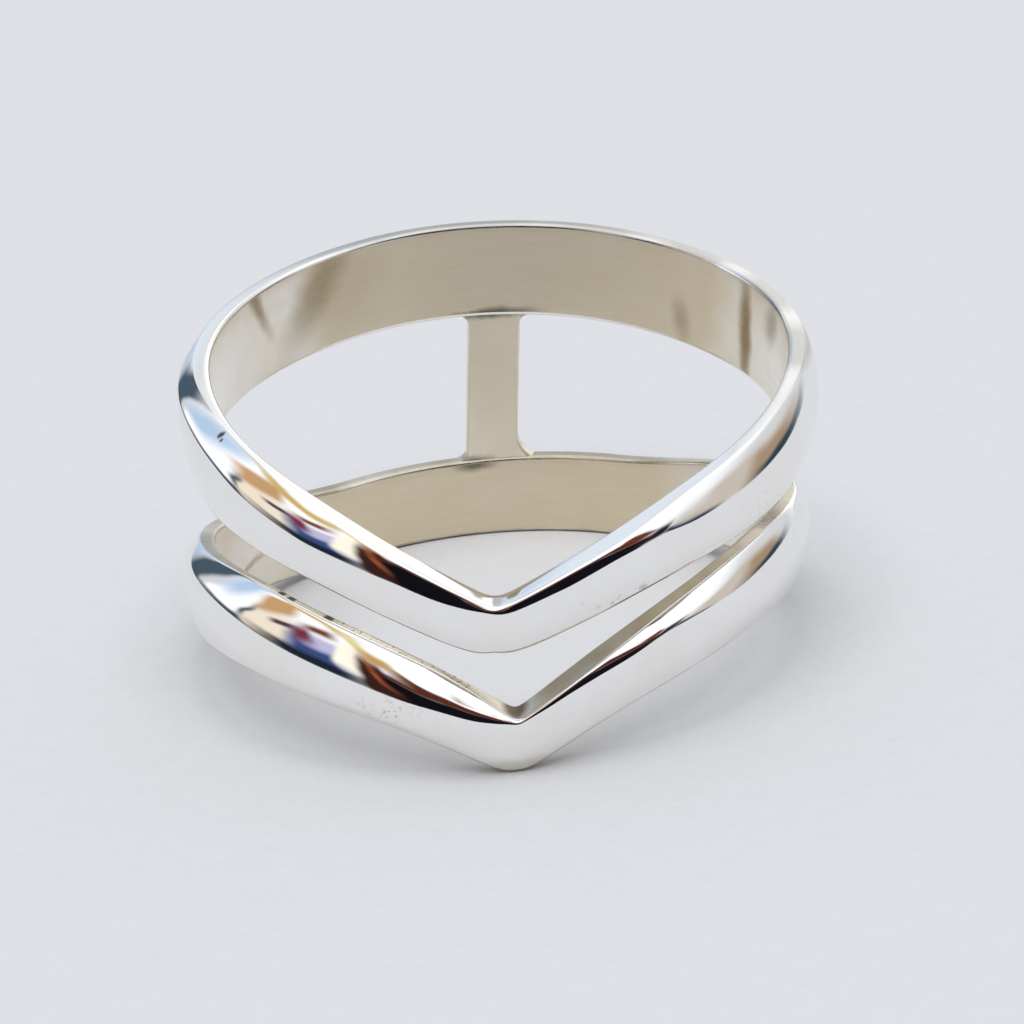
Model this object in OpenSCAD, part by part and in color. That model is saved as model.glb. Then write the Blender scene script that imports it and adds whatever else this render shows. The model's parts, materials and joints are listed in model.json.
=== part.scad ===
// Double chevron ring: two domed bands, each bent to a V at the front,
// joined by one upright bar at the back. It lies with its finger hole
// upright on the lower V and on the level back of the lower band.

/* [Finger hole] */
// Inside diameter of both bands
bore_d = 17.7; // [15:0.1:21]

/* [Band section] */
// Thickness at the crown of the dome
crown_t = 1.05; // [0.9:0.05:1.6]
// Thickness of the flat side faces
edge_t = 0.65; // [0.5:0.05:0.8]

/* [Chevron] */
// Turn over which each tip is rounded, in degrees
tip_round = 3; // [1:0.5:6]
// Turn of the upper tip to the right of the front, in degrees
upper_turn = -2; // [-5:0.5:5]
// Turn of the lower tip to the right of the front, in degrees
lower_turn = 2; // [-5:0.5:5]
// Height that the right side of the upper band loses to the left
upper_skew = 0.45; // [0:0.05:0.8]

/* [Back bar] */
// Width of the bar at its middle
bar_w = 1.75; // [1.2:0.05:3]
// Thickness of the bar
bar_t = 0.5; // [0.3:0.05:0.55]
// Depth that the bar stands back from the finger hole
bar_inset = 0.1; // [0.05:0.05:0.1]
// Radius of the solder fillets at its ends
bar_fillet = 0.35; // [0.2:0.05:0.8]
// Radius of the fillet at its lower right, where the solder ran out wide
solder_run = 0.9; // [0.2:0.05:1.2]
// Turn of the bar from the middle of the back, in degrees
bar_turn = -1; // [-5:0.5:5]

/* [Rest] */
// Lean of the finger hole to the right, in degrees
lean = 6; // [0:0.5:8]

/* [Hidden] */

bore_r = bore_d / 2;
// Turn of the finger hole's seam line, in degrees
bore_seam = 30;
// Depth that each band reaches inside the bore before it is bored out
bore_allowance = 0.4;
// Height of the cylinders that cut the bore and the bar, past both bands
cut_h = 4 * bore_r;

// Columns: turn from the tip in degrees, height of the band's middle, width.
// Past the last row each band runs level to the middle of the back.
UPPER_ROWS = [
    [  0, -1.50, 1.80],
    [ 16, -0.25, 1.95],
    [ 34,  0.85, 2.25],
    [ 56,  1.65, 2.65],
    [ 85,  2.55, 3.05],
    [120,  3.30, 3.20],
    [155,  3.90, 3.25],
    [180,  4.05, 3.25]
];
LOWER_ROWS = [
    [  0, -5.03, 2.00],
    [ 16, -3.50, 2.15],
    [ 34, -2.55, 2.45],
    [ 56, -2.10, 2.75],
    [ 85, -2.55, 2.95],
    [118, -3.65, 3.00],
    [150, -4.30, 2.85]
];
TURN = 0;
MIDDLE = 1;
WIDTH = 2;

// Heights of the dome's edges in the section, as shares of the half width
DOME = [-1, -0.85, -0.6, -0.3, 0, 0.3, 0.6, 0.85, 1];
sections = 96;
// The sections crowd towards the tip by this power
crowding = 1.5;
// Facets of the finger hole and of the bar's two faces
round_steps = 128;
// Turn over which the rounding of the tip dies away, in degrees
round_fade = 8;

// The section, walked from the inner bottom edge round the dome
SECTION = concat(
    [[-bore_allowance, -1]],
    [for (k = DOME) [edge_t + (crown_t - edge_t) * (1 - k * k), k]],
    [[-bore_allowance, 1]]
);

// Rise that undoes the lean, so that a band stands level
level_skew = bore_r * tan(lean);

// Slope of a column at a row: level at the last row, straight off the tip
function slope(rows, col, i) =
    i == len(rows) - 1 ? 0 :
    i == 0 ? 1.5 * rise(rows, col, 0, 1) - 0.5 * slope(rows, col, 1) :
    rise(rows, col, i - 1, i + 1);
function rise(rows, col, i, j) =
    (rows[j][col] - rows[i][col]) / (rows[j][TURN] - rows[i][TURN]);

// A column read smoothly at a turn of a degrees from the tip
function row_before(rows, a, i = 0) =
    i >= len(rows) - 2 || a < rows[i + 1][TURN] ? i : row_before(rows, a, i + 1);
function read(rows, col, a) =
    a >= rows[len(rows) - 1][TURN] ? rows[len(rows) - 1][col] :
    let (
        i = row_before(rows, a),
        span = rows[i + 1][TURN] - rows[i][TURN],
        t = (a - rows[i][TURN]) / span
    )
    (2 * pow(t, 3) - 3 * pow(t, 2) + 1) * rows[i][col]
    + (pow(t, 3) - 2 * pow(t, 2) + t) * span * slope(rows, col, i)
    + (3 * pow(t, 2) - 2 * pow(t, 3)) * rows[i + 1][col]
    + (pow(t, 3) - pow(t, 2)) * span * slope(rows, col, i + 1);

// The turn from the tip, rounded off so that the V has no sharp corner
function rounded(a) = sqrt(a * a + tip_round * tip_round * exp(-a / round_fade));

// Direction of a section, s from -1 to 1 round the band from the tip
function heading(s, turn) =
    turn + 180 * sign(s) * pow(abs(s), crowding) * (1 - sign(s) * turn / 180);

// One section of a band, in the ring's own frame with the bore along Z
function band_section(rows, turn, skew, s) =
    let (
        a = 180 * pow(abs(s), crowding),
        t = heading(s, turn),
        mid = read(rows, MIDDLE, rounded(a)) + skew * sin(t),
        half = read(rows, WIDTH, a) / 2
    )
    [for (p = SECTION)
        [(bore_r + p.x) * sin(t), -(bore_r + p.x) * cos(t), mid + p.y * half]];

function band_points(rows, turn, skew) =
    [for (i = [0 : sections - 1])
        each band_section(rows, turn, skew, 2 * i / sections - 1)];

function band_faces(n) =
    [for (i = [0 : sections - 1], j = [0 : n - 1])
        let (
            a = i * n + j,
            b = i * n + (j + 1) % n,
            c = ((i + 1) % sections) * n + (j + 1) % n,
            d = ((i + 1) % sections) * n + j
        )
        each [[a, b, c], [a, c, d]]];

upper_points = band_points(UPPER_ROWS, upper_turn, level_skew - upper_skew);
lower_points = band_points(LOWER_ROWS, lower_turn, level_skew);

// Where the leaning ring has to move so that it stands centred on the floor
function leaned(p) =
    [p.x * cos(lean) + p.z * sin(lean), p.y, p.z * cos(lean) - p.x * sin(lean)];
leaned_points = [for (p = concat(upper_points, lower_points)) leaned(p)];
function low(i) = min([for (p = leaned_points) p[i]]);
function high(i) = max([for (p = leaned_points) p[i]]);
stand = [-(low(0) + high(0)) / 2, -(low(1) + high(1)) / 2, -low(2)];

back_top = UPPER_ROWS[len(UPPER_ROWS) - 1];
back_low = LOWER_ROWS[len(LOWER_ROWS) - 1];
// The bar shows between these two heights and runs on into both bands
bar_top = back_top[MIDDLE] - back_top[WIDTH] / 2;
bar_low = back_low[MIDDLE] + back_low[WIDTH] / 2;
bar_root = 0.8;
// Depth of the bar's blank outside the bore, before its faces are cut
bar_blank = 2;
// Width of each fillet that lies inside the bar
fillet_lap = 0.3;
// Tilt of the upper band's lower edge at the back; the lower band's is the lean
upper_tilt = atan((level_skew - upper_skew) / bore_r);

module domed_band(points) {
    polyhedron(points = points, faces = band_faces(len(SECTION)), convexity = 6);
}

module upper_band() {
    color("silver") domed_band(upper_points);
}

module lower_band() {
    color("silver") domed_band(lower_points);
}

// A fillet in the corner between the bar's side and a band's side face
module fillet(r) {
    difference() {
        translate([-fillet_lap, -bar_root])
            square([r + fillet_lap, r + bar_root]);
        translate([r, r])
            circle(r = r, $fn = 32);
    }
}

module bar_end(left, right) {
    translate([bar_w / 2, 0])
        fillet(right);
    mirror([1, 0])
        translate([bar_w / 2, 0])
            fillet(left);
}

module bar_outline() {
    translate([-bar_w / 2, bar_low - bar_root])
        square([bar_w, bar_top - bar_low + 2 * bar_root]);
    translate([0, bar_low])
        rotate(lean)
            bar_end(bar_fillet, solder_run);
    translate([0, bar_top])
        rotate(upper_tilt)
            mirror([0, 1])
                bar_end(bar_fillet, bar_fillet);
}

// The bar follows the curve of the bands between its two faces
module back_bar() {
    color("silver")
        intersection() {
            rotate([0, 0, bar_turn])
                translate([0, bore_r + bar_blank, 0])
                    rotate([90, 0, 0])
                        linear_extrude(height = bar_blank + bore_allowance)
                            bar_outline();
            difference() {
                cylinder(r = bore_r + bar_inset + bar_t, h = cut_h, center = true, $fn = round_steps);
                cylinder(r = bore_r + bar_inset, h = cut_h + bore_r, center = true, $fn = round_steps);
            }
        }
}

// The finger hole, its seam line turned to the side, clear of the bar
module bore() {
    rotate([0, 0, bore_seam])
        cylinder(r = bore_r, h = cut_h, center = true, $fn = round_steps);
}

// The bands are bored out and the bar is soldered between them
module chevron_ring() {
    color("silver")
        translate(stand)
            rotate([0, lean, 0]) {
                difference() {
                    union() {
                        upper_band();
                        lower_band();
                    }
                    bore();
                }
                back_bar();
            }
}

chevron_ring();
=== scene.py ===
"""Double chevron ring of polished silver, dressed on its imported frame.

Two domed bands, each bent to a V at the front, with one flat bar soldered
between them at the back. The ring lies on a plain pale floor in soft light.
"""

import json
import logging
import math
from dataclasses import dataclass
from enum import Enum
from typing import Any

import bmesh
import bpy
from mathutils import Matrix, Vector, noise


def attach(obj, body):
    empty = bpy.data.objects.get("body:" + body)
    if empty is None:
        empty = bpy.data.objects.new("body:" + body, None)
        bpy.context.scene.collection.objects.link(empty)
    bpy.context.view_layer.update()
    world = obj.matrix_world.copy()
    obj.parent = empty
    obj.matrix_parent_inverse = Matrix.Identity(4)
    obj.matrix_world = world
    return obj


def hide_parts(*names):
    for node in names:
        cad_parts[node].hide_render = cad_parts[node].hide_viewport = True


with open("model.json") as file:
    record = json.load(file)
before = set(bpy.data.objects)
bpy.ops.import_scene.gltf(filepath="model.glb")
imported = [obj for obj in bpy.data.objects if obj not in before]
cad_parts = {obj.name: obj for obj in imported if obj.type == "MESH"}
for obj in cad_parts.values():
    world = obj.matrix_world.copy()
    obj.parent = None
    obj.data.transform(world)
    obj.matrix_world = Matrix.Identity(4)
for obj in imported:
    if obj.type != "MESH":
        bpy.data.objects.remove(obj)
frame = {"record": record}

log = logging.getLogger("double_chevron_ring")

MM = 0.001
BODY = "root"
NODE = "chevron_ring"

# Height that the right side of the upper band loses to the left
UPPER_SKEW = 0.45 * MM


class Region(Enum):
    """The parts of a band's section that take a finish of their own."""

    DOME = 0
    INSIDE = 1
    SIDE = 2
    # the rounded lower edge of the dome, whose grey-brown finish is partly a painted
    # reflection of the dark under the band
    EDGE = 3


@dataclass(frozen=True)
class Row:
    """One section of a band: turn from the tip in degrees, then millimetres."""

    turn: float
    middle: float
    width: float


@dataclass(frozen=True)
class Crest:
    """The dome at one turn.

    Its crest stands at a share of the half width above the middle. The file
    and the polish left it this thick at the crown and at its upper edge.
    """

    turn: float
    share: float
    crown: float
    rim: float


# Past the last row each band runs level to the middle of the back
UPPER_ROWS = (
    Row(0, -1.50, 1.80),
    Row(16, -0.25, 1.95),
    Row(34, 0.85, 2.25),
    Row(56, 1.65, 2.65),
    Row(85, 2.55, 3.05),
    Row(120, 3.30, 3.20),
    Row(155, 3.90, 3.25),
    Row(180, 4.05, 3.25),
)
LOWER_ROWS = (
    Row(0, -5.03, 2.00),
    Row(16, -3.50, 2.15),
    Row(34, -2.55, 2.45),
    Row(56, -2.10, 2.75),
    Row(85, -2.55, 2.95),
    Row(118, -3.65, 3.00),
    Row(150, -4.30, 2.85),
)
# The polish moved the crest up and down, which decides where the domes stop
# mirroring the floor and begin to mirror the room
UPPER_CRESTS = (
    Crest(-180, 0.00, 1.03, 0.60),
    Crest(-110, 0.26, 1.03, 0.52),
    Crest(-90, 0.50, 1.03, 0.50),
    Crest(-82, 0.60, 1.02, 0.47),
    Crest(-77, 0.60, 1.01, 0.42),
    Crest(-70, 0.47, 0.95, 0.30),
    Crest(-60, 0.30, 0.88, 0.20),
    Crest(-50, 0.11, 0.90, 0.24),
    Crest(-40, 0.01, 0.97, 0.34),
    Crest(-35, 0.00, 1.01, 0.42),
    Crest(-27, 0.05, 1.03, 0.65),
    Crest(-20, 0.08, 1.03, 0.78),
    Crest(-12, 0.16, 1.03, 0.83),
    Crest(-7, 0.49, 1.03, 0.87),
    Crest(-3, 0.74, 1.03, 0.91),
    Crest(1, 0.55, 1.03, 0.91),
    Crest(7, 0.46, 1.03, 0.88),
    Crest(10, 0.42, 1.03, 0.86),
    Crest(18, 0.50, 1.03, 0.84),
    Crest(26, 0.46, 1.03, 0.66),
    Crest(32, 0.15, 1.03, 0.56),
    Crest(40, 0.00, 1.03, 0.49),
    Crest(50, -0.15, 1.03, 0.43),
    Crest(58, -0.20, 1.03, 0.38),
    Crest(64, -0.20, 1.03, 0.40),
    Crest(70, -0.15, 1.03, 0.46),
    Crest(80, -0.05, 1.03, 0.50),
    Crest(100, 0.10, 1.03, 0.52),
    Crest(180, 0.00, 1.03, 0.60),
)
LOWER_CRESTS = (
    Crest(-180, 0.00, 1.03, 0.60),
    Crest(-110, 0.22, 1.03, 0.52),
    Crest(-82, 0.42, 1.03, 0.50),
    Crest(-74, 0.48, 1.03, 0.46),
    Crest(-68, 0.44, 1.03, 0.40),
    Crest(-60, 0.27, 1.03, 0.32),
    Crest(-50, 0.01, 1.03, 0.30),
    Crest(-40, -0.15, 1.03, 0.34),
    Crest(-30, -0.23, 1.03, 0.38),
    Crest(-20, -0.24, 1.03, 0.40),
    Crest(-15, -0.12, 1.03, 0.38),
    Crest(-8, 0.15, 1.03, 0.44),
    Crest(-5, 0.30, 1.03, 0.55),
    Crest(-2, 0.54, 1.03, 0.72),
    Crest(2, 0.87, 1.03, 0.93),
    Crest(8, 0.75, 1.03, 0.94),
    Crest(14, 0.63, 1.03, 0.88),
    Crest(20, 0.56, 1.03, 0.77),
    Crest(27, 0.62, 1.03, 0.62),
    Crest(36, 0.46, 1.03, 0.52),
    Crest(45, 0.16, 1.03, 0.49),
    Crest(51, 0.08, 1.03, 0.48),
    Crest(56, 0.10, 1.03, 0.49),
    Crest(66, 0.18, 1.03, 0.51),
    Crest(100, 0.20, 1.03, 0.52),
    Crest(180, 0.00, 1.03, 0.60),
)


def smooth_read(turns: list[float], values: list[float], at: float) -> float:
    """Reads a short table along a smooth curve that ends level.

    Args:
        turns: where the rows stand, rising.
        values: the column that is read.
        at: where to read it.

    Returns:
        The value of the curve through the rows.
    """
    last = len(turns) - 1
    if at >= turns[last]:
        return values[last]
    i = max(k for k in range(last) if turns[k] <= at or k == 0)

    def rise(a: int, b: int) -> float:
        """Mean slope between two rows."""
        return (values[b] - values[a]) / (turns[b] - turns[a])

    def slope(k: int) -> float:
        """Slope at a row: level at the last, straight off the first.

        Args:
            k: the row's number.

        Returns:
            The slope.
        """
        if k == last:
            return 0.0
        if k == 0:
            return 1.5 * rise(0, 1) - 0.5 * slope(1)
        return rise(k - 1, k + 1)

    span = turns[i + 1] - turns[i]
    t = (at - turns[i]) / span
    return (
        (2 * t**3 - 3 * t**2 + 1) * values[i]
        + (t**3 - 2 * t**2 + t) * span * slope(i)
        + (3 * t**2 - 2 * t**3) * values[i + 1]
        + (t**3 - t**2) * span * slope(i + 1)
    )


@dataclass(frozen=True)
class Seat:
    """The ring's own axes: the bore upright, its middle at the origin."""

    centre: Vector
    lean: float
    bore_r: float

    @classmethod
    def from_record(cls, record: dict[str, Any]) -> "Seat":
        """Reads the bore's place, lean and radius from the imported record.

        Args:
            record: the frame's record, with its mounts.

        Returns:
            The ring's seat.
        """
        bore = next(m for m in record["mounts"] if m["name"] == "finger_bore")
        axis = Vector(bore["axis"])
        lean = math.atan2(axis.x, axis.z)
        return cls(Vector(bore["pos_m"]), lean, bore["dims"]["r_mm"] * MM)

    def matrix(self) -> Matrix:
        """Carries the ring's own axes to the part's frame."""
        return Matrix.Translation(self.centre) @ Matrix.Rotation(self.lean, 4, "Y")

    def level_skew(self) -> float:
        """Rise to the right that undoes the lean at the bore's wall."""
        return self.bore_r * math.tan(self.lean)

    def on_wall(self, turn: float, depth: float, height: float) -> Vector:
        """A point at a turn in degrees, outwards of the bore's wall by depth.

        Args:
            turn: degrees from the front, to the right.
            depth: distance from the bore's wall.
            height: height along the bore.

        Returns:
            The point, in the ring's own axes.
        """
        angle = math.radians(turn)
        radius = self.bore_r + depth
        return Vector((radius * math.sin(angle), -radius * math.cos(angle), height))


@dataclass(frozen=True)
class Section:
    """The D-shaped section of a band at one turn, walked from the inside."""

    half: float
    crest: float
    crown: float
    edge: float
    rim: float
    corner: float
    low_corner: float
    inner_steps: int = 12
    corner_steps: int = 4
    side_steps: int = 3
    dome_steps: int = 44

    def side(self, sign: int) -> float:
        """Thickness of the top (1) or bottom (-1) side face."""
        return self.rim if sign > 0 else self.edge

    def dome_slope(self, sign: int) -> float:
        """How fast the dome falls at its top (1) or bottom (-1) edge."""
        fall = self.crown - self.side(sign)
        return 2 * fall / ((1 - sign * self.crest) * self.half)

    def dome_depth(self, height: float) -> float:
        """Distance of the dome from the bore's wall at a height.

        Args:
            height: height from the middle of the band.

        Returns:
            The distance.
        """
        k = height / self.half - self.crest
        sign = 1 if k > 0 else -1
        fall = self.crown - self.side(sign)
        return self.crown - fall * (k / (1 - sign * self.crest)) ** 2

    def outer_corner(self, sign: int) -> list[tuple[float, float]]:
        """The rounded corner between a side face and the dome.

        Args:
            sign: 1 for the top corner, -1 for the bottom one.

        Returns:
            Depth and height of its points, from the side face to the dome.
        """
        tilt = math.atan(self.dome_slope(sign))
        radius = self.corner if sign > 0 else self.low_corner
        tangent = radius * math.tan((math.pi / 2 - tilt) / 2)
        arc = []
        for i in range(self.corner_steps + 1):
            a = math.pi / 2 + (tilt - math.pi / 2) * i / self.corner_steps
            arc.append(
                (
                    self.side(sign) - tangent + radius * math.cos(a),
                    sign * (self.half - radius + radius * math.sin(a)),
                )
            )
        return arc

    def inner_corner(self, sign: int) -> list[tuple[float, float]]:
        """The rounded corner between the bore's wall and a side face.

        Args:
            sign: 1 for the top corner, -1 for the bottom one.

        Returns:
            Depth and height of its points, from the wall to the side face.
        """
        arc = []
        for i in range(self.corner_steps + 1):
            a = math.pi - math.pi / 2 * i / self.corner_steps
            arc.append(
                (
                    self.corner * (1 + math.cos(a)),
                    sign * (self.half - self.corner + self.corner * math.sin(a)),
                )
            )
        return arc

    def walk(self) -> list[tuple[Region, float, float]]:
        """Walks the section once round.

        Returns:
            For each point its region, its depth from the bore's wall and its
            height from the middle of the band.
        """
        top_in, top_out = self.inner_corner(1), self.outer_corner(1)
        low_in, low_out = self.inner_corner(-1), self.outer_corner(-1)
        points: list[tuple[Region, float, float]] = []

        def line(
            region: Region, a: tuple[float, float], b: tuple[float, float], steps: int
        ) -> None:
            """Adds the points between a and b, without both ends.

            Args:
                region: the region that they belong to.
                a: depth and height of the first end.
                b: depth and height of the last end.
                steps: parts that the line is cut in.
            """
            for i in range(1, steps):
                t = i / steps
                points.append((region, a[0] + (b[0] - a[0]) * t, a[1] + (b[1] - a[1]) * t))

        points += [(Region.SIDE, *p) for p in top_in]
        line(Region.SIDE, top_in[-1], top_out[0], self.side_steps)
        points += [(Region.DOME, *p) for p in top_out]
        for i in range(1, self.dome_steps):
            z = top_out[-1][1] + (low_out[-1][1] - top_out[-1][1]) * i / self.dome_steps
            points.append((Region.DOME, self.dome_depth(z), z))
        points += [(Region.EDGE, *p) for p in reversed(low_out)]
        points[-1] = (Region.SIDE, *low_out[0])
        line(Region.SIDE, low_out[0], low_in[-1], self.side_steps)
        points += [(Region.SIDE, *p) for p in reversed(low_in)]
        points[-1] = (Region.INSIDE, *low_in[0])
        line(Region.INSIDE, low_in[0], top_in[0], self.inner_steps)
        return points


@dataclass
class ChevronBand:
    """One domed band of the ring, bent to a V at the front.

    The tip is rounded over a few degrees, less so at the upper edge, and the
    rounding fades away along the arms. Hand polishing left broad and fine
    waves in the dome.
    """

    name: str
    seat: Seat
    rows: tuple[Row, ...]
    crests: tuple[Crest, ...]
    tip_turn: float
    skew: float
    tip_round: float
    tip_sharpening: float
    edge: float = 0.65 * MM
    corner: float = 0.13 * MM
    low_corner: float = 0.18 * MM
    round_fade: float = 8.0
    steps: int = 640
    weld: float = 0.0005 * MM
    dent_depth: float = 0.007 * MM
    dent_size: float = 2.6 * MM
    fine_dents: float = 2.3
    fine_dent_share: float = 0.35
    fine_dent_shift: tuple[float, float, float] = (7.1, 3.7, 1.9)

    def turn_from_tip(self, turn: float) -> float:
        """The turn from the tip, so scaled that the back is at 180.

        Args:
            turn: degrees from the front, to the right.

        Returns:
            Degrees from the tip.
        """
        if turn >= self.tip_turn:
            return (turn - self.tip_turn) / (180 - self.tip_turn) * 180
        return (self.tip_turn - turn) / (180 + self.tip_turn) * 180

    def middle(self, turn: float, share: float = 0.0) -> float:
        """Height of the middle at a turn; the V is sharper high on the band.

        Args:
            turn: degrees from the front, to the right.
            share: height across the band, from -1 at its lower edge to 1.

        Returns:
            The height along the bore.
        """
        a = self.turn_from_tip(turn)
        rounding = self.tip_round - self.tip_sharpening * share
        a = math.sqrt(a * a + rounding**2 * math.exp(-a / self.round_fade))
        turns = [row.turn for row in self.rows]
        level = smooth_read(turns, [row.middle for row in self.rows], a)
        return level * MM + self.skew * math.sin(math.radians(turn))

    def half_width(self, turn: float) -> float:
        """Half the band's width at a turn.

        Args:
            turn: degrees from the front, to the right.

        Returns:
            Half the width.
        """
        turns = [row.turn for row in self.rows]
        widths = [row.width for row in self.rows]
        return smooth_read(turns, widths, self.turn_from_tip(turn)) * MM / 2

    def section(self, turn: float) -> Section:
        """The band's section at a turn.

        Args:
            turn: degrees from the front, to the right.

        Returns:
            The section.
        """
        turns = [c.turn for c in self.crests]
        return Section(
            half=self.half_width(turn),
            crest=smooth_read(turns, [c.share for c in self.crests], turn),
            crown=smooth_read(turns, [c.crown for c in self.crests], turn) * MM,
            edge=self.edge,
            rim=smooth_read(turns, [c.rim for c in self.crests], turn) * MM,
            corner=self.corner,
            low_corner=self.low_corner,
        )

    def point(self, turn: float, share: float, depth: float | None = None) -> Vector:
        """A point of the part's frame on the band.

        Args:
            turn: degrees from the front, to the right.
            share: height across the band, from -1 at its lower edge to 1.
            depth: distance from the bore's wall; on the dome if left out.

        Returns:
            The point in the part's frame.
        """
        half = self.half_width(turn)
        if depth is None:
            depth = self.section(turn).dome_depth(share * half)
        height = self.middle(turn, share) + share * half
        return self.seat.matrix() @ self.seat.on_wall(turn, depth, height)

    def mark(
        self,
        turn: float,
        share: float,
        size: tuple[float, float, float],
        colour: str,
        strength: float,
        depth: float | None = None,
        **look: float,
    ) -> "Mark":
        """Plans a mark on the band.

        Args:
            turn: degrees from the front, to the right.
            share: height across the band, from -1 at its lower edge to 1.
            size: half its width, depth and height in millimetres.
            colour: its colour.
            strength: how much it covers.
            depth: distance from the bore's wall; on the dome if left out.
            look: its tilt, softness or speckle.

        Returns:
            The mark, in the part's frame.
        """
        centre = self.point(turn, share, depth)
        half = (size[0] * MM, size[1] * MM, size[2] * MM)
        return Mark(centre, turn, half, colour, strength, **look)

    def dent(self, place: Vector, region: Region) -> float:
        """How far hand polishing left the dome high or low at a place.

        Args:
            place: the place, in the ring's own axes.
            region: the region that it is in.

        Returns:
            The height of the wave, 0 off the dome.
        """
        if region is not Region.DOME:
            return 0.0
        broad = noise.noise(place / self.dent_size)
        shift = Vector(self.fine_dent_shift)
        fine = noise.noise(place * self.fine_dents / self.dent_size + shift)
        return self.dent_depth * (broad + self.fine_dent_share * fine)

    def build(self, finishes: dict[Region, bpy.types.Material]) -> bpy.types.Object:
        """Spins the section round the bore and bends the ring to its V.

        Args:
            finishes: the material of each region.

        Returns:
            The finished band, riding on the ring's body.
        """
        bm = bmesh.new()
        station = bm.verts.layers.int.new("station")
        grain = bm.verts.layers.float_vector.new("grain")
        plan = self.section(0).walk()
        loop = []
        for index, (_, depth, height) in enumerate(plan):
            vert = bm.verts.new(self.seat.on_wall(0, depth, height))
            vert[station] = index
            loop.append(vert)
        edges = [bm.edges.new((a, b)) for a, b in zip(loop, loop[1:] + loop[:1])]
        bmesh.ops.spin(
            bm,
            geom=loop + edges,
            cent=(0, 0, 0),
            axis=(0, 0, 1),
            angle=math.tau,
            steps=self.steps,
            use_merge=True,
        )
        bmesh.ops.remove_doubles(bm, verts=bm.verts[:], dist=self.weld)
        self.bend(bm, station, grain)
        bmesh.ops.recalc_face_normals(bm, faces=bm.faces[:])
        last = len(plan) - 1
        for face in bm.faces:
            marks = {vert[station] for vert in face.verts}
            first = last if marks == {0, last} else min(marks)
            face.material_index = plan[first][0].value
            face.smooth = True
        bm.transform(self.seat.matrix())
        return finish_piece(bm, self.name, [finishes[r] for r in Region])

    def bend(self, bm: bmesh.types.BMesh, station: Any, grain: Any) -> None:
        """Moves each spun vertex to the section at its own turn.

        Args:
            bm: the spun band.
            station: the layer with each vertex's number in the section.
            grain: the layer that takes the place the scratches follow.
        """
        walks: dict[int, tuple[float, float, float, list[Any]]] = {}
        for vert in bm.verts:
            turn = math.degrees(math.atan2(vert.co.x, -vert.co.y))
            key = round(turn * self.steps / 360)
            if key not in walks:
                walks[key] = (
                    self.half_width(turn),
                    self.middle(turn, -1),
                    self.middle(turn, 1),
                    self.section(turn).walk(),
                )
            half, low, high, walk = walks[key]
            region, depth, across = walk[vert[station]]
            height = across + low + (high - low) * (across / half + 1) / 2
            place = self.seat.on_wall(turn, depth, height)
            depth += self.dent(place, region)
            vert.co = self.seat.on_wall(turn, depth, height)
            vert[grain] = Vector((place.x, place.y, across))


@dataclass
class BackBar:
    """The flat bar at the back, between the two bands."""

    seat: Seat
    low: float
    top: float
    low_tilt: float
    top_tilt: float
    name: str = "back_bar"
    width: float = 1.75 * MM
    thickness: float = 0.5 * MM
    inset: float = 0.1 * MM
    turn: float = -1.0
    fillet: float = 0.35 * MM
    solder_run: float = 0.9 * MM
    root: float = 0.3 * MM
    soft_edge: float = 0.07 * MM
    edge_steps: int = 3
    sharp: float = 60.0
    columns: int = 16
    rows: int = 72

    def flare(self, radius: float, rise: float) -> float:
        """How far a fillet of a radius stands out at a height above its foot.

        Args:
            radius: the fillet's radius.
            rise: the height above its foot.

        Returns:
            The distance.
        """
        if rise <= 0:
            return radius
        if rise >= radius:
            return 0.0
        return radius - math.sqrt(radius**2 - (radius - rise) ** 2)

    def half_width(self, side: int, height: float) -> float:
        """Half the bar's width at a height, on its left (-1) or right (1).

        Args:
            side: which side.
            height: the height along the bore.

        Returns:
            Half the width.
        """
        x = side * self.width / 2
        above = height - (self.low + x * math.tan(self.low_tilt))
        below = (self.top + x * math.tan(self.top_tilt)) - height
        run = self.solder_run if side > 0 else self.fillet
        return self.width / 2 + self.flare(run, above) + self.flare(self.fillet, below)

    def build(self, finish: bpy.types.Material) -> bpy.types.Object:
        """Makes the bar from a flat grid, thickened and curved to the bore.

        Args:
            finish: the bar's material.

        Returns:
            The finished bar, riding on the ring's body.
        """
        bm = bmesh.new()
        grain = bm.verts.layers.float_vector.new("grain")
        bmesh.ops.create_grid(
            bm, x_segments=self.columns, y_segments=self.rows, size=1.0
        )
        bottom, top = self.low - self.root, self.top + self.root
        for vert in bm.verts:
            u, v = vert.co.x, (vert.co.y + 1) / 2
            height = bottom + (top - bottom) * v
            vert.co = (u * self.half_width(1 if u > 0 else -1, height), 0, height)
        front = bm.faces[:]
        back = bmesh.ops.extrude_face_region(bm, geom=front, use_keep_orig=True)
        moved = [g for g in back["geom"] if isinstance(g, bmesh.types.BMVert)]
        bmesh.ops.translate(bm, verts=moved, vec=(0, self.thickness, 0))
        bmesh.ops.recalc_face_normals(bm, faces=bm.faces[:])
        rims = [
            e
            for e in bm.edges
            if len(e.link_faces) == 2 and e.calc_face_angle() > math.radians(self.sharp)
        ]
        bmesh.ops.bevel(
            bm,
            geom=rims,
            offset=self.soft_edge,
            segments=self.edge_steps,
            profile=0.5,
            affect="EDGES",
            material=-1,
        )
        for vert in bm.verts:
            x, depth, height = vert.co
            turn = 180 + self.turn - math.degrees(x / self.seat.bore_r)
            place = self.seat.on_wall(turn, self.inset + depth, height)
            vert.co = place
            vert[grain] = Vector((height, depth, x))
        bmesh.ops.recalc_face_normals(bm, faces=bm.faces[:])
        for face in bm.faces:
            face.smooth = True
        bm.transform(self.seat.matrix())
        return finish_piece(bm, self.name, [finish])


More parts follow.
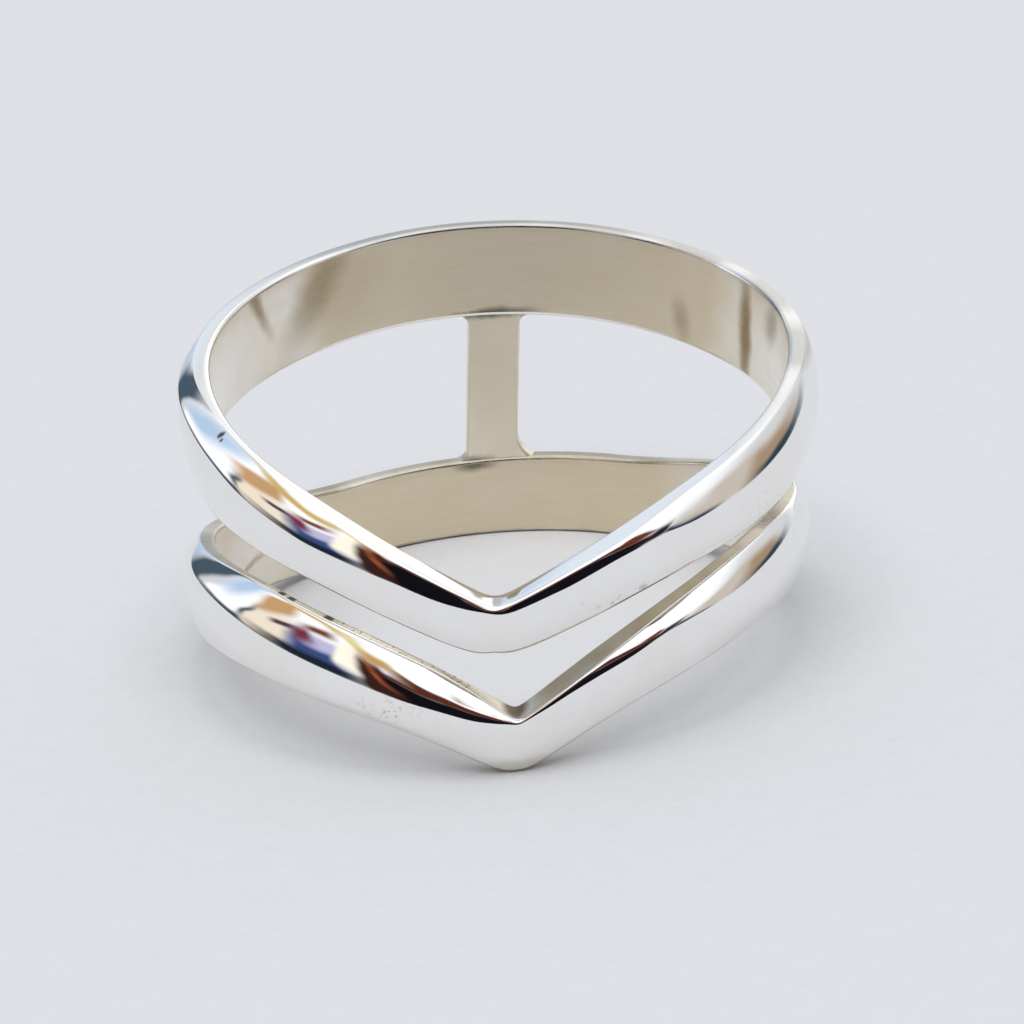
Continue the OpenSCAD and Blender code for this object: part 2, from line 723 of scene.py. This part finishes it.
def finish_piece(
    bm: bmesh.types.BMesh, name: str, materials: list[bpy.types.Material]
) -> bpy.types.Object:
    """Turns a bmesh into a piece of the ring.

    Args:
        bm: the shape, in the part's frame; it is freed.
        name: the piece's name.
        materials: its material slots, in order.

    Returns:
        The object, riding on the ring's body in place of the CAD node.
    """
    mesh = bpy.data.meshes.new(name)
    bm.to_mesh(mesh)
    bm.free()
    for material in materials:
        mesh.materials.append(material)
    piece = bpy.data.objects.new(name, mesh)
    bpy.context.scene.collection.objects.link(piece)
    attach(piece, BODY)
    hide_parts(NODE)
    log.info("%s: %d faces", name, len(mesh.polygons))
    return piece


def linear(code: str, alpha: float = 1.0) -> tuple[float, float, float, float]:
    """Turns an sRGB hex colour to linear light.

    Args:
        code: six hex digits after a hash sign.
        alpha: the fourth number of the result.

    Returns:
        Red, green, blue and alpha.
    """
    shares = [int(code[i : i + 2], 16) / 255 for i in (1, 3, 5)]
    red, green, blue = (
        s / 12.92 if s <= 0.04045 else ((s + 0.055) / 1.055) ** 2.4 for s in shares
    )
    return red, green, blue, alpha


def add_node(
    tree: bpy.types.NodeTree,
    kind: str,
    inputs: dict[Any, Any] | None = None,
    **settings: Any,
) -> bpy.types.Node:
    """Adds a node with its settings and links.

    Args:
        tree: the node tree.
        kind: the node's type.
        inputs: for each input, by name or number, a value or the output
            socket that feeds it.
        settings: properties of the node.

    Returns:
        The new node.
    """
    node = tree.nodes.new(kind)
    for key, value in settings.items():
        setattr(node, key, value)
    for key, value in (inputs or {}).items():
        if isinstance(value, bpy.types.NodeSocket):
            tree.links.new(value, node.inputs[key])
        else:
            node.inputs[key].default_value = value
    return node


def new_material(name: str) -> tuple[bpy.types.Material, bpy.types.NodeTree]:
    """Makes an empty node material.

    Args:
        name: its name.

    Returns:
        The material and its node tree.
    """
    material = bpy.data.materials.new(name)
    material.use_nodes = True
    material.node_tree.nodes.clear()
    return material, material.node_tree


def ruffled(
    tree: bpy.types.NodeTree,
    waves: dict[str, Any],
    push: tuple[float, float, float],
    place: Any,
) -> Any:
    """Pushes places about along a noise.

    Args:
        tree: the node tree.
        waves: inputs of the noise.
        push: how far each axis is pushed.
        place: the socket with the places.

    Returns:
        The socket with the pushed places.
    """
    noise_node = add_node(tree, "ShaderNodeTexNoise", waves)
    centred = add_node(
        tree,
        "ShaderNodeVectorMath",
        {0: noise_node.outputs["Color"], 1: (0.5, 0.5, 0.5)},
        operation="SUBTRACT",
    )
    return add_node(
        tree,
        "ShaderNodeVectorMath",
        {0: centred.outputs[0], 1: push, 2: place},
        operation="MULTIPLY_ADD",
    ).outputs[0]


def clouded(
    tree: bpy.types.NodeTree,
    height: Any,
    span: tuple[float, float],
    share: float,
    colours: tuple[str, str],
) -> Any:
    """Blends two colours along a noise.

    Args:
        tree: the node tree.
        height: the noise's socket.
        span: where in the noise the blend begins and ends.
        share: how much the second colour covers where the noise is highest.
        colours: the colours, as hex.

    Returns:
        The colour socket.
    """
    cover = add_node(
        tree,
        "ShaderNodeMapRange",
        {"Value": height, "From Min": span[0], "From Max": span[1], "To Max": share},
    )
    return add_node(
        tree,
        "ShaderNodeMix",
        {"Factor": cover.outputs[0], 6: linear(colours[0]), 7: linear(colours[1])},
        data_type="RGBA",
    ).outputs[2]


@dataclass(frozen=True)
class Mark:
    """A soft-edged mark on the metal: a pit, a stain or a line of solder.

    Its size is half its width, depth and height. A speckled mark is broken up
    into specks of its speckle's size in millimetres.
    """

    centre: Vector
    turn: float
    size: tuple[float, float, float]
    colour: str
    strength: float
    tilt: float = 0.0
    soft: float = 0.5
    speckle: float = 0.0
    speck_from: float = 0.58
    speck_full: float = 0.66

    def mix_in(
        self, tree: bpy.types.NodeTree, place: Any, under: Any
    ) -> tuple[Any, Any]:
        """Lays the mark over a colour.

        Args:
            tree: the material's node tree.
            place: the socket with Object coordinates, a little warped.
            under: the colour socket below the mark.

        Returns:
            The colour with the mark, and the mark's own mask.
        """
        local = add_node(
            tree,
            "ShaderNodeMapping",
            {
                "Vector": place,
                "Location": self.centre,
                "Rotation": (0.0, math.radians(self.tilt), math.radians(self.turn)),
                "Scale": self.size,
            },
            vector_type="TEXTURE",
        )
        reach = add_node(
            tree, "ShaderNodeVectorMath", {0: local.outputs[0]}, operation="LENGTH"
        )
        mask = add_node(
            tree,
            "ShaderNodeMapRange",
            {
                "Value": reach.outputs["Value"],
                "From Min": 1.0 + self.soft,
                "From Max": 1.0 - self.soft,
                "To Max": self.strength,
            },
            interpolation_type="SMOOTHSTEP",
        ).outputs[0]
        if self.speckle:
            specks = add_node(
                tree,
                "ShaderNodeTexNoise",
                {"Vector": place, "Scale": 1 / (self.speckle * MM), "Detail": 2.0},
            )
            mask = add_node(
                tree,
                "ShaderNodeMapRange",
                {
                    "Value": specks.outputs[0],
                    "From Min": self.speck_from,
                    "From Max": self.speck_full,
                    "To Max": mask,
                },
            ).outputs[0]
        mixed = add_node(
            tree,
            "ShaderNodeMix",
            {"Factor": mask, 6: under, 7: linear(self.colour)},
            data_type="RGBA",
        )
        return mixed.outputs[2], mask


@dataclass(frozen=True)
class SilverFinish:
    """Sterling silver under one way of finishing.

    A metal has no colour of its own but what it mirrors, so the finish is in
    how rough it is, in its fine scratches and in its bloom of tarnish. Real
    scratches are 0.01 to 0.03 mm wide, too fine to show, so they are drawn a
    few times as coarse. The clouds of tarnish are about 2 mm across.
    """

    name: str
    metal: str
    tarnish: str
    tarnish_share: float
    roughness: float
    scratch_mm: float
    scratch_stretch: float
    scratch_depth: float
    marks: tuple[Mark, ...] = ()
    cloud_mm: float = 2.2
    ragged_mm: float = 0.6
    ragged_push_mm: float = 0.25
    smoothest: float = 0.8
    roughest: float = 1.25
    mark_roughness: float = 0.3

    def build(self) -> bpy.types.Material:
        """Makes the material.

        Returns:
            The material.
        """
        material, tree = new_material(self.name)
        place = add_node(tree, "ShaderNodeTexCoord").outputs["Object"]
        scratches = self.scratches(tree)
        cloud = add_node(
            tree,
            "ShaderNodeTexNoise",
            {
                "Vector": place,
                "Scale": 1 / (self.cloud_mm * MM),
                "Detail": 4.0,
                "Roughness": 0.55,
            },
        ).outputs[0]
        tones = (self.metal, self.tarnish)
        colour = clouded(tree, cloud, (0.35, 0.7), self.tarnish_share, tones)
        roughness = add_node(
            tree,
            "ShaderNodeMapRange",
            {
                "Value": scratches,
                "From Min": 0.3,
                "From Max": 0.7,
                "To Min": self.roughness * self.smoothest,
                "To Max": self.roughness * self.roughest,
            },
        ).outputs[0]
        # no mark has a clean outline
        waves = {"Vector": place, "Scale": 1 / (self.ragged_mm * MM), "Detail": 3.0}
        ragged = ruffled(tree, waves, (self.ragged_push_mm * MM,) * 3, place)
        for mark in self.marks:
            colour, mask = mark.mix_in(tree, ragged, colour)
            roughness = add_node(
                tree,
                "ShaderNodeMath",
                {0: mask, 1: self.mark_roughness, 2: roughness},
                operation="MULTIPLY_ADD",
                use_clamp=True,
            ).outputs[0]
        bump = add_node(
            tree,
            "ShaderNodeBump",
            {"Height": scratches, "Distance": self.scratch_depth * MM, "Strength": 1.0},
        )
        shader = add_node(
            tree,
            "ShaderNodeBsdfPrincipled",
            {
                "Base Color": colour,
                "Roughness": roughness,
                "Metallic": 1.0,
                "Normal": bump.outputs[0],
            },
        )
        add_node(tree, "ShaderNodeOutputMaterial", {"Surface": shader.outputs[0]})
        return material

    def scratches(self, tree: bpy.types.NodeTree) -> Any:
        """Draws the scratches along the band.

        Args:
            tree: the material's node tree.

        Returns:
            The socket with their height.
        """
        grain = add_node(
            tree, "ShaderNodeAttribute", attribute_name="grain"
        ).outputs["Vector"]
        fine = 1 / (self.scratch_mm * MM)
        along = add_node(
            tree,
            "ShaderNodeMapping",
            {
                "Vector": grain,
                "Scale": (fine / self.scratch_stretch,) * 2 + (fine,),
            },
        )
        return add_node(
            tree,
            "ShaderNodeTexNoise",
            {"Vector": along.outputs[0], "Scale": 1.0, "Detail": 3.0, "Roughness": 0.6},
        ).outputs[0]


@dataclass(frozen=True)
class PaperFinish:
    """Uncoated drawing paper, pressed.

    It is matt and nearly white, and its soft tooth gives the eye a faint
    unevenness, with painted shade that makes the tooth's hollows a little darker
    than its tops. Real tooth is about 0.3 mm across, drawn three times as coarse.
    """

    name: str = "uncoated_paper"
    # painted shade: the tooth's hollows are a little darker than its tops
    shaded_hollows: str = "#dadbde"
    lit_tops: str = "#dcdde0"
    roughness: float = 0.9
    tooth_mm: float = 0.9
    tooth_depth_mm: float = 0.1
    tooth_strength: float = 0.6

    def build(self) -> bpy.types.Material:
        """Makes the material.

        Returns:
            The material.
        """
        material, tree = new_material(self.name)
        place = add_node(tree, "ShaderNodeTexCoord").outputs["Object"]
        tooth = add_node(
            tree,
            "ShaderNodeTexNoise",
            {
                "Vector": place,
                "Scale": 1 / (self.tooth_mm * MM),
                "Detail": 5.0,
                "Roughness": 0.6,
            },
        )
        # painted shade and light: darker where the tooth is low, lighter where it is high
        tones = (self.shaded_hollows, self.lit_tops)
        colour = clouded(tree, tooth.outputs[0], (0.3, 0.7), 1.0, tones)
        bump = add_node(
            tree,
            "ShaderNodeBump",
            {
                "Height": tooth.outputs[0],
                "Strength": self.tooth_strength,
                "Distance": self.tooth_depth_mm * MM,
            },
        )
        shader = add_node(
            tree,
            "ShaderNodeBsdfPrincipled",
            {
                "Base Color": colour,
                "Roughness": self.roughness,
                "Normal": bump.outputs[0],
                "Specular IOR Level": 0.2,
            },
        )
        add_node(tree, "ShaderNodeOutputMaterial", {"Surface": shader.outputs[0]})
        return material


@dataclass(frozen=True)
class Card:
    """One soft-edged patch of the studio's surround that the metal mirrors.

    The azimuth is 0 at the front of the ring, where the camera stands, and
    grows to the right; the elevation is above the floor. All angles are in
    degrees.
    """

    azimuth: float
    elevation: float
    half_azimuth: float
    half_elevation: float
    colour: str
    slant: float = 0.0
    soft: float = 0.15
    gain: float = 1.0


CARDS = (
    # behind the ring: pale, white at the right, bluer at the left, with a
    # greyer strip in the middle that the lower band's side faces mirror
    Card(-180, 24, 56, 26, "#d4d9de", soft=0.4),
    Card(180, 24, 56, 26, "#d4d9de", soft=0.4),
    Card(-166, 30, 15, 18, "#e4edf9", soft=0.5),
    Card(-164, 11, 13, 10, "#c0d6f2", soft=0.6),
    Card(160, 29, 16, 18, "#ffffff", soft=0.5, gain=1.1),
    Card(153, 6, 17, 10, "#ffffff", soft=0.5, gain=1.1),
    Card(-180, 17, 9, 12, "#bcbfc0", soft=0.5),
    Card(180, 17, 9, 12, "#bcbfc0", soft=0.5),
    # at the left, from far to near: slate, white, tan over cream, blue and
    # lilac, cream again, with dark low strips and golden ones above
    Card(-111, 27, 12, 22, "#f8fbff", soft=0.35, gain=1.2),
    Card(-118, 40, 9, 14, "#b9d3f2", soft=0.7),
    Card(-141, 22, 9, 26, "#4a5a6a", soft=0.35),
    Card(-92, 3, 44, 4.5, "#3c4a58", soft=0.7),
    Card(-85, 20, 11, 18, "#f2e6d4", soft=0.25, gain=1.05),
    Card(-97, 21, 1.6, 10, "#5a626c", soft=0.8),
    Card(-91, 42, 12, 8, "#cba274", slant=-35, soft=0.4),
    Card(-78, 31, 7, 2.4, "#4e3e50", slant=-20, soft=0.6),
    Card(-60, 20, 13, 13, "#3c4f84", slant=6, soft=0.4),
    Card(-56, 30, 10, 6, "#c4c2e8", slant=-14, soft=0.6),
    Card(-68, 31, 4, 6, "#7c3448", slant=-30, soft=0.7),
    Card(-62, 6, 26, 6, "#1d2738", soft=0.6),
    Card(-62, 42, 9, 2.8, "#7c4034", slant=-18, soft=0.7),
    Card(-43, 31, 7, 14, "#fffaea", slant=8, soft=0.4, gain=1.1),
    Card(-76, 52, 34, 2.4, "#d2b670", slant=2, soft=0.7),
    Card(-37, 47, 10, 3, "#e8dca0", slant=26, soft=0.7),
    # at the front: near black, warm at its edges
    Card(-31, 17, 8, 22, "#3a221e", soft=0.35),
    Card(-30, 24, 2.4, 14, "#a0583a", slant=-14, soft=0.8),
    Card(-10, 10, 18, 20, "#121118", soft=0.2),
    Card(17, 14, 20, 17, "#151319", soft=0.2),
    Card(-14, 31, 18, 2.6, "#5a2c22", slant=-8, soft=0.8),
    Card(8, 36, 26, 6, "#5e2e22", soft=0.25),
    Card(-24, 42, 9, 4, "#c8a060", soft=0.6),
    Card(31, 43, 7, 8, "#6e3628", slant=-24, soft=0.4),
    # at the right: dark brown and navy, then grey tan, with teal low down
    Card(42, 22, 9, 16, "#2c2226", slant=24, soft=0.5),
    Card(60, 8, 13, 7, "#22304a", slant=20, soft=0.5),
    Card(84, 12, 24, 12, "#cbc2b7", slant=24, soft=0.35),
    Card(101, 7, 12, 7, "#a8917a", slant=24, soft=0.5),
    Card(105, 1.5, 14, 3.5, "#2e4750", soft=0.7),
)


@dataclass
class Studio:
    """The floor, the soft light and the camera."""

    seat: Seat
    floor_radius: float = 0.9
    floor_sides: int = 96
    backdrop: str = "#d9dce2"
    overhead: str = "#f9fbff"
    overhead_gain: float = 1.15
    overhead_from: float = 0.35
    overhead_full: float = 0.75
    wave_scale: float = 3.6
    wave_push: tuple[float, float, float] = (7.0, 5.0, 0.0)
    sky_gain: float = 0.6
    sun_strength: float = 1.5
    sun_azimuth: float = 0.0
    sun_elevation: float = 74.0
    sun_angle: float = 50.0
    azimuth: float = -0.3
    elevation: float = 21.3
    roll: float = 5.31
    distance: float = 70.0 * MM
    aim_right: float = -0.48 * MM
    aim_up: float = 1.36 * MM
    focal_px: float = 2224.6
    image_px: float = 1024.0
    sensor: float = 36.0
    clip_start: float = 0.001

    def build_floor(self) -> bpy.types.Object:
        """Lays the plain pale paper that the ring lies on.

        Returns:
            The floor.
        """
        bm = bmesh.new()
        bmesh.ops.create_circle(
            bm, cap_ends=True, segments=self.floor_sides, radius=self.floor_radius
        )
        mesh = bpy.data.meshes.new("floor")
        bm.to_mesh(mesh)
        bm.free()
        mesh.materials.append(PaperFinish().build())
        floor = bpy.data.objects.new("floor", mesh)
        bpy.context.scene.collection.objects.link(floor)
        return floor

    def build_surround(self) -> None:
        """Lights the ring from all round, with the cards that it mirrors.

        Only glossy rays see the cards; the light that falls on the floor comes
        from a plain surround, so the floor stays an even pale grey.
        """
        world = bpy.data.worlds.new("soft_studio")
        bpy.context.scene.world = world
        world.use_nodes = True
        tree = world.node_tree
        tree.nodes.clear()
        way = add_node(tree, "ShaderNodeTexCoord").outputs["Generated"]
        parts = add_node(tree, "ShaderNodeSeparateXYZ", {0: way})
        spot = self.angles(tree, way, parts)
        height = add_node(
            tree,
            "ShaderNodeMapRange",
            {
                "Value": parts.outputs[2],
                "From Min": self.overhead_from,
                "From Max": self.overhead_full,
            },
            interpolation_type="SMOOTHSTEP",
        )
        over = [c * self.overhead_gain for c in linear(self.overhead)[:3]] + [1.0]
        colour = add_node(
            tree,
            "ShaderNodeMix",
            {"Factor": height.outputs[0], 6: linear(self.backdrop), 7: over},
            data_type="RGBA",
        ).outputs[2]
        sky = colour
        for card in CARDS:
            colour = self.hang(tree, card, spot, colour)
        mirrored = add_node(tree, "ShaderNodeLightPath").outputs["Is Glossy Ray"]
        plain = add_node(
            tree, "ShaderNodeBackground", {"Color": sky, "Strength": self.sky_gain}
        )
        carded = add_node(tree, "ShaderNodeBackground", {"Color": colour})
        light = add_node(
            tree,
            "ShaderNodeMixShader",
            {0: mirrored, 1: plain.outputs[0], 2: carded.outputs[0]},
        )
        add_node(tree, "ShaderNodeOutputWorld", {"Surface": light.outputs[0]})
        world.cycles.sampling_method = "NONE"

    def angles(self, tree: bpy.types.NodeTree, way: Any, parts: bpy.types.Node) -> Any:
        """Turns a direction to angles, a little wavy so that no edge is ruled.

        Args:
            tree: the world's node tree.
            way: the socket with the direction.
            parts: the node that splits it in three.

        Returns:
            The socket with azimuth and elevation in degrees.
        """
        back = add_node(
            tree, "ShaderNodeMath", {0: parts.outputs[1], 1: -1.0}, operation="MULTIPLY"
        )
        azimuth = add_node(
            tree,
            "ShaderNodeMath",
            {0: parts.outputs[0], 1: back.outputs[0]},
            operation="ARCTAN2",
        )
        elevation = add_node(
            tree, "ShaderNodeMath", {0: parts.outputs[2]}, operation="ARCSINE"
        )
        angles = add_node(
            tree,
            "ShaderNodeCombineXYZ",
            {0: azimuth.outputs[0], 1: elevation.outputs[0]},
        )
        degrees = add_node(
            tree,
            "ShaderNodeVectorMath",
            {0: angles.outputs[0], 1: (math.degrees(1),) * 3},
            operation="MULTIPLY",
        )
        waves = {
            "Vector": way,
            "Scale": self.wave_scale,
            "Detail": 1.0,
            "Roughness": 0.4,
        }
        return ruffled(tree, waves, self.wave_push, degrees.outputs[0])

    def hang(self, tree: bpy.types.NodeTree, card: Card, spot: Any, under: Any) -> Any:
        """Hangs one card in the surround.

        Args:
            tree: the world's node tree.
            card: the card.
            spot: the socket with azimuth and elevation in degrees.
            under: the colour socket behind the card.

        Returns:
            The colour socket with the card.
        """
        local = add_node(
            tree,
            "ShaderNodeMapping",
            {
                "Vector": spot,
                "Location": (card.azimuth, card.elevation, 0.0),
                "Rotation": (0.0, 0.0, math.radians(-card.slant)),
                "Scale": (card.half_azimuth, card.half_elevation, 1.0),
            },
            vector_type="TEXTURE",
        )
        size = add_node(
            tree, "ShaderNodeVectorMath", {0: local.outputs[0]}, operation="ABSOLUTE"
        )
        lower = 1 - card.soft
        upper = 1 + card.soft
        edge = add_node(
            tree,
            "ShaderNodeMapRange",
            {
                "Vector": size.outputs[0],
                7: (upper, upper, upper),
                8: (lower, lower, lower),
            },
            data_type="FLOAT_VECTOR",
            interpolation_type="SMOOTHSTEP",
        )
        both = add_node(tree, "ShaderNodeSeparateXYZ", {0: edge.outputs["Vector"]})
        mask = add_node(
            tree,
            "ShaderNodeMath",
            {0: both.outputs[0], 1: both.outputs[1]},
            operation="MULTIPLY",
        )
        shade = [c * card.gain for c in linear(card.colour)[:3]] + [1.0]
        return add_node(
            tree,
            "ShaderNodeMix",
            {"Factor": mask.outputs[0], 6: under, 7: shade},
            data_type="RGBA",
        ).outputs[2]

    def build_sun(self) -> None:
        """Hangs one broad soft light, high and a little to the front."""
        data = bpy.data.lights.new("broad_light", "SUN")
        data.energy = self.sun_strength
        data.angle = math.radians(self.sun_angle)
        lamp = bpy.data.objects.new("broad_light", data)
        az, el = math.radians(self.sun_azimuth), math.radians(self.sun_elevation)
        towards = Vector(
            (math.sin(az) * math.cos(el), -math.cos(az) * math.cos(el), math.sin(el))
        )
        lamp.rotation_euler = towards.to_track_quat("Z", "Y").to_euler()
        lamp.visible_glossy = False
        bpy.context.scene.collection.objects.link(lamp)

    def build_camera(self) -> None:
        """Stands the camera at the photo's angle to the ring."""
        az, el, roll = (
            math.radians(a) for a in (self.azimuth, self.elevation, self.roll)
        )
        right = Vector((math.cos(az), math.sin(az), 0))
        ahead = Vector(
            (-math.sin(az) * math.cos(el), math.cos(az) * math.cos(el), -math.sin(el))
        )
        up = right.cross(ahead)
        rolled_right = right * math.cos(roll) - up * math.sin(roll)
        rolled_up = right * math.sin(roll) + up * math.cos(roll)
        stand = (
            self.seat.centre
            - self.aim_right * rolled_right
            - self.aim_up * rolled_up
            - self.distance * ahead
        )
        data = bpy.data.cameras.new("camera")
        data.sensor_fit = "HORIZONTAL"
        data.sensor_width = self.sensor
        data.lens = self.focal_px / self.image_px * self.sensor
        data.clip_start = self.clip_start
        camera = bpy.data.objects.new("camera", data)
        turn = Matrix((rolled_right, rolled_up, -ahead)).transposed().to_4x4()
        camera.matrix_world = Matrix.Translation(stand) @ turn
        bpy.context.scene.collection.objects.link(camera)
        bpy.context.scene.camera = camera


def polished_marks(upper: ChevronBand, lower: ChevronBand) -> tuple[Mark, ...]:
    """Pits and clouded places on the polished domes, and the duller back rim.

    Args:
        upper: the upper band.
        lower: the lower band.

    Returns:
        The marks.
    """
    # every 25 degrees round the back
    clouded = [
        upper.mark(turn, 1.0, (2.3, 1.0, 0.35), "#c6c5c0", 0.8, 0.3 * MM, soft=0.6)
        for turn in range(82, 290, 25)
    ]
    return (
        *clouded,
        upper.mark(-62, 0.90, (0.11, 0.3, 0.07), "#16202c", 0.9),
        upper.mark(-61, 0.84, (0.05, 0.3, 0.04), "#16202c", 0.9),
        upper.mark(49, -0.35, (0.9, 0.3, 0.35), "#a39c94", 0.4, speckle=0.14),
        upper.mark(22, -0.75, (1.6, 0.3, 0.35), "#c9c7b2", 0.6, speckle=0.25),
        lower.mark(-20, -0.38, (0.9, 0.3, 0.35), "#a0968a", 0.5, speckle=0.12),
        lower.mark(3, -0.85, (1.1, 0.3, 0.4), "#c4bba4", 0.5),
    )


def satin_marks(upper: ChevronBand, lower: ChevronBand) -> tuple[Mark, ...]:
    """Warm tarnish and wiped streaks inside the ring.

    Args:
        upper: the upper band.
        lower: the lower band.

    Returns:
        The marks.
    """
    warm, brown = "#efe3c8", "#a28c62"
    return (
        upper.mark(173, 0.0, (8.0, 7.0, 6.0), warm, 0.75, 0.0, soft=0.12),
        lower.mark(180, 0.0, (8.0, 7.0, 6.0), warm, 0.85, 0.0, soft=0.25),
        upper.mark(113, -0.1, (0.32, 0.5, 1.9), brown, 0.85, 0.0, tilt=3, soft=0.7),
        upper.mark(101, 0.55, (0.50, 0.5, 0.6), "#a8a595", 0.60, 0.0, tilt=-25, soft=0.8),
        upper.mark(134, -0.5, (0.30, 0.5, 0.6), brown, 0.35, 0.0, tilt=10, soft=0.9),
        upper.mark(222, 0.1, (0.60, 0.5, 2.0), brown, 0.45, 0.0, tilt=-40, soft=0.8),
        upper.mark(214, 0.0, (1.10, 0.5, 1.6), brown, 0.12, 0.0, tilt=-40, soft=0.9),
        upper.mark(242, 0.4, (0.24, 0.5, 1.4), brown, 0.70, 0.0, tilt=30, soft=0.8),
        lower.mark(248, 0.2, (1.50, 0.5, 0.12), brown, 0.50, 0.0, tilt=8, soft=0.8),
    )


def solder_marks(upper: ChevronBand, lower: ChevronBand) -> tuple[Mark, ...]:
    """Grey solder where the bar meets the two bands.

    Args:
        upper: the upper band.
        lower: the lower band.

    Returns:
        The marks.
    """
    seam = "#6a675f"
    return (
        upper.mark(180, -0.95, (1.30, 0.5, 0.16), seam, 0.80, 0.0, soft=0.8),
        lower.mark(183, 0.92, (0.60, 0.5, 0.22), seam, 0.70, 0.0, soft=0.8),
    )


def filed_marks(lower: ChevronBand) -> tuple[Mark, ...]:
    """Brown stains and file marks on the flat side faces.

    Args:
        lower: the lower band.

    Returns:
        The marks.
    """
    rim = 0.3 * MM
    stains = [
        lower.mark(turn, 1.0, (1.0, 0.6, 0.4), "#a8966e", 0.6, rim, soft=0.8)
        for turn in (9, 17, 25, 33, 41)
    ]
    dashes = [
        lower.mark(turn, 1.0, (0.13, 0.6, 0.2), "#2c261a", 0.85, rim)
        for turn in (-45, -42.5, -33.5)
    ]
    rubbed = [
        lower.mark(turn, 1.0, (0.9, 0.6, 0.3), "#6a5c42", 0.8, rim, speckle=0.12)
        for turn in (-30, -22, -14, -8)
    ]
    tip = lower.mark(1.8, 1.0, (0.35, 0.6, 0.3), "#5c4c34", 0.85, rim)
    return (*stains, *dashes, *rubbed, tip)


def main() -> None:
    """Builds the ring and its studio."""
    logging.basicConfig(level=logging.INFO, format="%(name)s: %(message)s")
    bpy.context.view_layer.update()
    seat = Seat.from_record(frame["record"])
    skew = seat.level_skew()
    studio = Studio(seat)
    studio.build_camera()
    studio.build_floor()
    studio.build_surround()
    studio.build_sun()
    bpy.context.scene.view_settings.view_transform = "Standard"

    upper = ChevronBand(
        "upper_band",
        seat,
        UPPER_ROWS,
        UPPER_CRESTS,
        tip_turn=-2.0,
        skew=skew - UPPER_SKEW,
        tip_round=3.3,
        tip_sharpening=1.7,
    )
    lower = ChevronBand(
        "lower_band",
        seat,
        LOWER_ROWS,
        LOWER_CRESTS,
        tip_turn=2.0,
        skew=skew,
        tip_round=1.9,
        tip_sharpening=1.1,
    )
    # Polished on a mop: a near mirror, a little warm where tarnish clouds it
    polished = SilverFinish(
        "sterling_silver_polished",
        metal="#faf9f7",
        tarnish="#efe9df",
        tarnish_share=0.3,
        roughness=0.04,
        scratch_mm=0.05,
        scratch_stretch=30.0,
        scratch_depth=0.00006,
        marks=polished_marks(upper, lower),
    ).build()
    # Rubbed inside with emery paper: a soft sheen drawn out along the band
    satin = SilverFinish(
        "sterling_silver_satin",
        metal="#fffdf9",
        tarnish="#f3e9d3",
        tarnish_share=0.6,
        roughness=0.36,
        scratch_mm=0.08,
        scratch_stretch=20.0,
        scratch_depth=0.001,
        marks=satin_marks(upper, lower) + solder_marks(upper, lower),
    ).build()
    # Strip drawn flat and left so: dull and warm, with hardly a highlight
    drawn = SilverFinish(
        "sterling_silver_drawn_flat",
        metal="#f1e8d4",
        tarnish="#e6dcc6",
        tarnish_share=0.7,
        roughness=0.34,
        scratch_mm=0.07,
        scratch_stretch=16.0,
        scratch_depth=0.001,
        marks=solder_marks(upper, lower),
    ).build()
    # Filed edges and side faces: grey-brown, broken up by short scratches; on the rounded
    # lower edges of the domes the grey-brown is also a painted reflection of the dark
    # under the band
    filed_and_painted_reflection = SilverFinish(
        "sterling_silver_filed_and_painted_reflection",
        metal="#e8e0d0",
        tarnish="#b0a48c",
        tarnish_share=0.8,
        roughness=0.24,
        scratch_mm=0.06,
        scratch_stretch=12.0,
        scratch_depth=0.002,
        marks=filed_marks(lower),
    ).build()

    # the rounded lower edges take the filed finish, whose grey-brown there is partly a
    # painted reflection of the dark under the band
    upper.build(
        {
            Region.DOME: polished,
            Region.INSIDE: satin,
            Region.SIDE: polished,
            Region.EDGE: filed_and_painted_reflection,
        }
    )
    lower.build(
        {
            Region.DOME: polished,
            Region.INSIDE: satin,
            Region.SIDE: filed_and_painted_reflection,
            Region.EDGE: filed_and_painted_reflection,
        }
    )
    bar = BackBar(
        seat,
        low=lower.middle(180) + lower.half_width(180),
        top=upper.middle(180) - upper.half_width(180),
        low_tilt=math.atan(lower.skew / seat.bore_r),
        top_tilt=math.atan(upper.skew / seat.bore_r),
    )
    bar.build(drawn)


if __name__ == "__main__":
    main()
